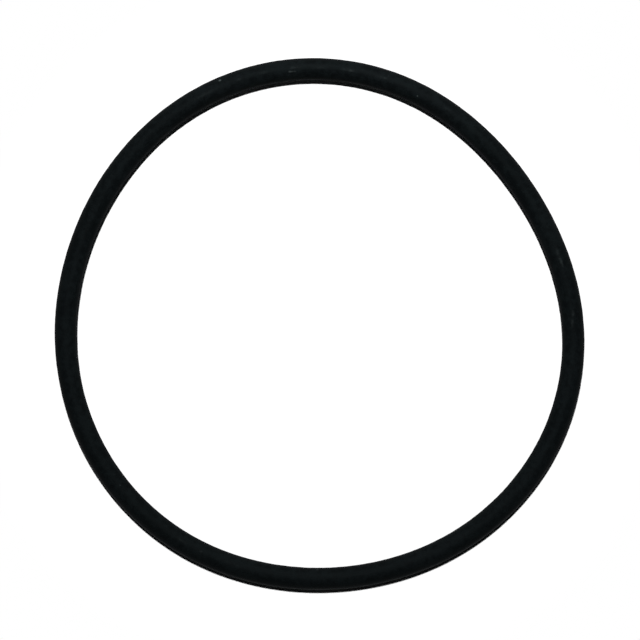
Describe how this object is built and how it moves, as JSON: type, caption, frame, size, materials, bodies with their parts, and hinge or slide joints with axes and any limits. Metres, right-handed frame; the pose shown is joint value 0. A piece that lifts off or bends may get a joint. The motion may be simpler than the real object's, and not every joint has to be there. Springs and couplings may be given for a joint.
{
  "type": "rubber o-ring",
  "caption": "Black moulded rubber sealing ring with a round section and trimmed parting-line flash inside and outside.",
  "frame": {"origin": "centre of the ring, halfway up its round section, on the mould's parting plane", "axes": "+Z is the ring's axis; X and Y lie in the parting plane, and +Y is towards the top of the picture"},
  "size_m": [0.0862, 0.0862, 0.0036],
  "materials": {
    "black_rubber": "matte moulded rubber with a faint bloom"
  },
  "bodies": {
    "root": {"o_ring": "black_rubber"}
  },
  "joints": []
}
